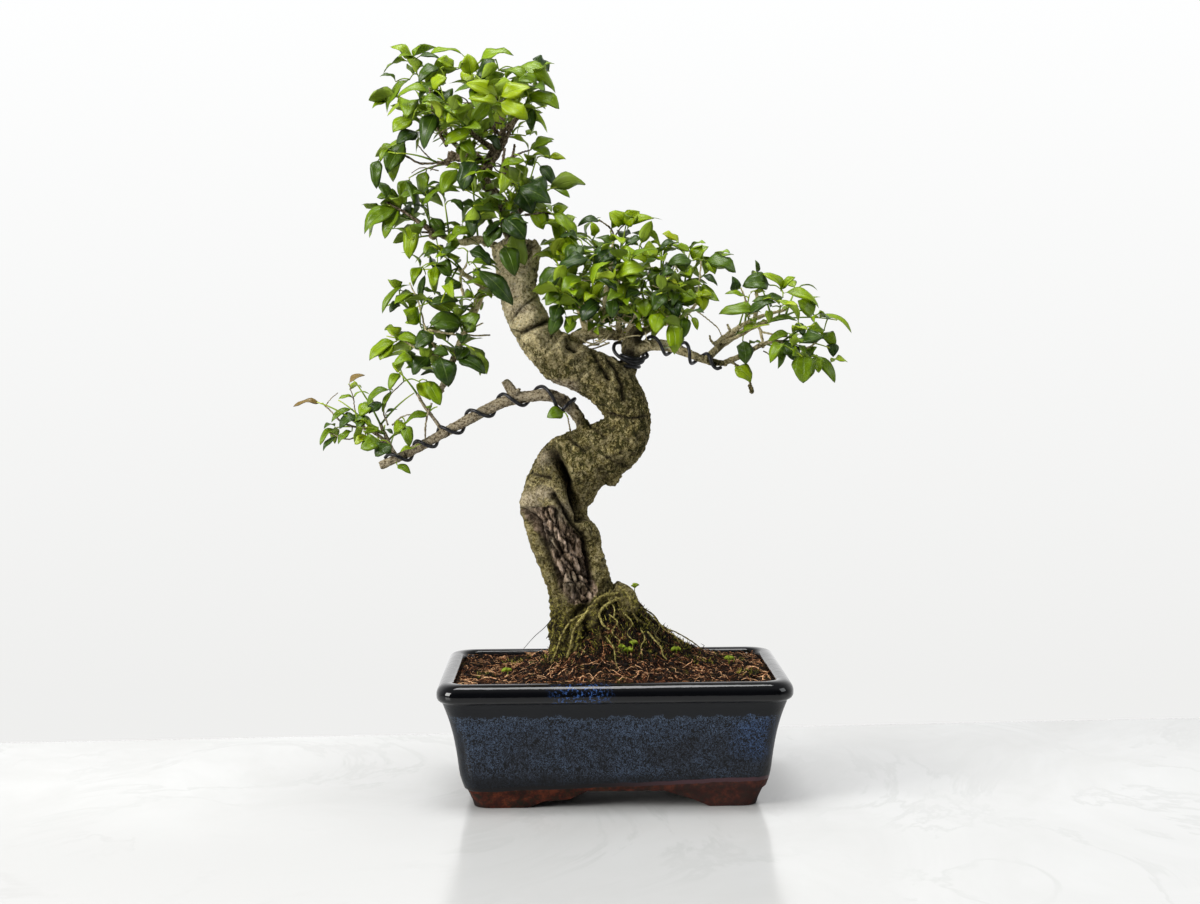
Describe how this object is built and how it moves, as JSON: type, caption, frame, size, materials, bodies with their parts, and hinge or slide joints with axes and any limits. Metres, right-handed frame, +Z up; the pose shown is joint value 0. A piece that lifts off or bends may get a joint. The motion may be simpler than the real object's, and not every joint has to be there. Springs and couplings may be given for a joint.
{
  "type": "mandarin bonsai",
  "caption": "Bonsai tree with an S-shaped trunk, wired side branches and small opposite leaves, in a glazed rectangular pot on four cut feet.",
  "frame": {"origin": "on the surface that the pot stands on, under the middle of the whole bonsai's bounding box", "axes": "+Z up, +X to the right of the front, +Y from the front to the back"},
  "size_m": [0.405, 0.18, 0.5388],
  "materials": {
    "pot_glaze": "glossy dark blue glaze over terracotta, bare at the feet",
    "soil": "loose coir and grit with moss",
    "bark": "rough mossy bark",
    "leaf": "waxy satin",
    "wire": "black anodised",
    "screen": "matt"
  },
  "bodies": {
    "root": {"pot": "pot_glaze", "soil": "soil", "drain_screen_left": "screen", "drain_screen_right": "screen", "trunk": "bark", "training_wire_left": "wire", "training_wire_right": "wire", "leader_shoot_1": "leaf", "leader_shoot_2": "leaf", "leader_shoot_3": "leaf", "crown_left_shoot_1": "leaf", "crown_left_shoot_2": "leaf", "crown_left_shoot_3": "leaf", "crown_twig_shoot_1": "leaf", "crown_twig_shoot_2": "leaf", "crown_right_shoot_1": "leaf", "crown_right_shoot_2": "leaf", "crown_top_right_shoot_1": "leaf", "crown_top_right_shoot_2": "leaf", "crown_back_shoot_1": "leaf", "crown_front_shoot_1": "leaf", "crown_back_left_shoot_1": "leaf", "shoulder_back_shoot_1": "leaf", "shoulder_front_shoot_1": "leaf", "shoulder_front_shoot_2": "leaf", "shoulder_front_shoot_3": "leaf", "left_arm_shoot_1": "leaf", "left_arm_shoot_2": "leaf", "left_arm_shoot_3": "leaf", "hanging_arm_shoot_1": "leaf", "hanging_arm_shoot_2": "leaf", "hanging_arm_shoot_3": "leaf", "hanging_arm_shoot_4": "leaf", "hanging_arm_shoot_5": "leaf", "hanging_fork_shoot_1": "leaf", "hanging_fork_shoot_2": "leaf", "wired_twig_up_shoot_1": "leaf", "wired_twig_end_shoot_1": "leaf", "wired_twig_end_shoot_2": "leaf", "wired_twig_left_shoot_1": "leaf", "wired_twig_left_shoot_2": "leaf", "pad_arm_shoot_1": "leaf", "pad_arm_shoot_2": "leaf", "pad_left_up_shoot_1": "leaf", "pad_left_up_shoot_2": "leaf", "pad_left_front_shoot_1": "leaf", "pad_left_front_shoot_2": "leaf", "pad_top_shoot_1": "leaf", "pad_front_shoot_1": "leaf", "pad_front_shoot_2": "leaf", "pad_back_shoot_1": "leaf", "pad_top_right_shoot_1": "leaf", "pad_back_right_shoot_1": "leaf", "pad_low_shoot_1": "leaf", "right_fork_up_shoot_1": "leaf", "right_fork_up_shoot_2": "leaf", "right_fork_up_shoot_3": "leaf", "right_fork_up_shoot_4": "leaf", "right_fork_low_shoot_1": "leaf", "right_fork_low_shoot_2": "leaf"}
  },
  "joints": []
}
